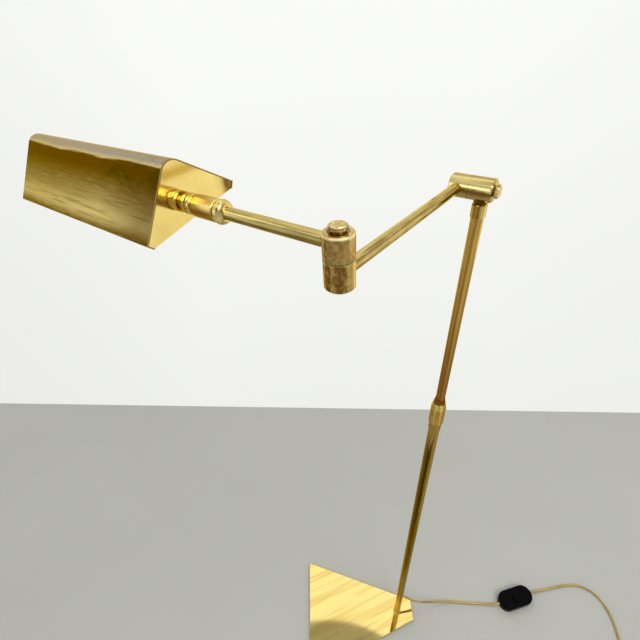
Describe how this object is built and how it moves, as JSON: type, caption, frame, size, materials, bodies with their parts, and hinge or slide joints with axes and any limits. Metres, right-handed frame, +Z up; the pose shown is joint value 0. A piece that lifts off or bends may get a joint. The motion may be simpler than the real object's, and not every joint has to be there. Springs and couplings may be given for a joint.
{
  "type": "reading floor lamp",
  "caption": "Brass reading floor lamp with a wedge-shaped foot, a telescoping pole, jointed swing arms, a tent-shaped shade and a foot switch on its cord.",
  "frame": {"origin": "on the floor under the pole's axis, at the underside of the felt pad", "axes": "+Z up along the pole, -X towards the wide end of the foot, +Y to the left of that end as seen from above the narrow end looking along -X"},
  "size_m": [1.035, 0.3321, 1.2551],
  "materials": {
    "felt": "dense felt",
    "plate_brass": "polished",
    "tube_brass": "polished, lightly aged",
    "dark_brass": "aged, dark",
    "aged_brass": "aged, streaked",
    "bright_brass": "polished",
    "shade_brass": "aged, brown film",
    "shade_plate_brass": "satin",
    "steel": "zinc plated",
    "spring_steel": "plain",
    "inner_plastic": "moulded",
    "black_plastic": "glossy",
    "black_rubber": "matte",
    "socket_plastic": "moulded",
    "glass": "frosted inside",
    "cord_sheath": "smooth, gold-coloured",
    "wire_sheath": "smooth",
    "pin_brass": "plain"
  },
  "bodies": {
    "base": {"felt_pad": "felt", "base_plate": "plate_brass", "base_washer": "steel", "base_nut": "steel", "foot_plug": "tube_brass", "foot_ring": "plate_brass", "lower_tube": "tube_brass", "cord_bush": "black_rubber", "collar_sleeve": "tube_brass", "collet": "dark_brass", "switch_base": "black_plastic", "switch_cover": "black_plastic", "switch_mechanism": "inner_plastic", "switch_terminals": "pin_brass", "switch_screws": "steel", "switch_spring": "spring_steel", "cord_pole_to_switch": "cord_sheath", "cord_switch_to_coil": "cord_sheath", "cord_coil": "cord_sheath", "cord_coil_to_plug": "cord_sheath", "coil_tie": "black_rubber", "plug_body": "black_plastic", "plug_pins": "pin_brass"},
    "pole_clamp": {"clamp_nut": "bright_brass"},
    "pole_slider": {"guide_bush": "inner_plastic"},
    "upper_pole": {"upper_tube": "dark_brass", "pole_ferrule": "bright_brass", "pole_nipple": "dark_brass", "hinge_post_half": "aged_brass", "wire_post": "wire_sheath"},
    "arm_1": {"hinge_arm_half": "aged_brass", "hinge_screw": "bright_brass", "hinge_spring_washer": "spring_steel", "hinge_friction_washer": "inner_plastic", "arm_1_tube": "aged_brass", "elbow_lower_half": "aged_brass", "elbow_screw": "bright_brass", "elbow_spring_washer": "spring_steel", "elbow_friction_washer": "inner_plastic", "wire_arm_1": "wire_sheath"},
    "arm_2": {"elbow_upper_half": "aged_brass", "arm_2_tube": "aged_brass", "swivel_cup": "bright_brass", "swivel_bead": "bright_brass", "swivel_spindle": "aged_brass", "spindle_nut": "steel", "swivel_spring": "spring_steel", "wire_arm_2": "wire_sheath"},
    "shade": {"swivel_barrel": "aged_brass", "swivel_flange": "bright_brass", "shade_nut": "steel", "shade_shell": "shade_brass", "end_plate_near": "shade_plate_brass", "end_plate_far": "shade_plate_brass", "lamp_socket": "socket_plastic", "socket_contact": "pin_brass", "bulb_cap": "steel", "bulb_glass": "glass"},
    "foot_button": {"switch_button": "black_plastic"}
  },
  "joints": [
    {"name": "clamp_turn", "type": "hinge", "parent": "base", "child": "pole_clamp", "pos_m": [0, 0, 0.885], "axis": [0, 0, 1], "range_deg": [0, 120]},
    {"name": "pole_height", "type": "slide", "parent": "base", "child": "pole_slider", "axis": [0, 0, 1], "range_m": [-0.25, 0.25]},
    {"name": "pole_turn", "type": "hinge", "parent": "pole_slider", "child": "upper_pole", "pos_m": [0, 0, 0.9], "axis": [0, 0, 1], "range_deg": [-170, 170]},
    {"name": "arm_tilt", "type": "hinge", "parent": "upper_pole", "child": "arm_1", "pos_m": [0, 0, 1.2002], "axis": [0.7638, -0.6455, 0], "range_deg": [-75, 75]},
    {"name": "elbow_turn", "type": "hinge", "parent": "arm_1", "child": "arm_2", "pos_m": [-0.13777, -0.12972, 1.2002], "axis": [0, 0, 1], "range_deg": [-65, 225]},
    {"name": "shade_turn", "type": "hinge", "parent": "arm_2", "child": "shade", "pos_m": [-0.13777, -0.12972, 1.2212], "axis": [-0.7944, 0.6074, 0], "range_deg": [-150, 150]},
    {"name": "foot_button_press", "type": "slide", "parent": "base", "child": "foot_button", "axis": [0, 0, -1], "range_m": [0, 0.0025], "stiffness_N_per_m": 900, "springref_m": -0.003, "deforming": ["switch_spring"]}
  ]
}
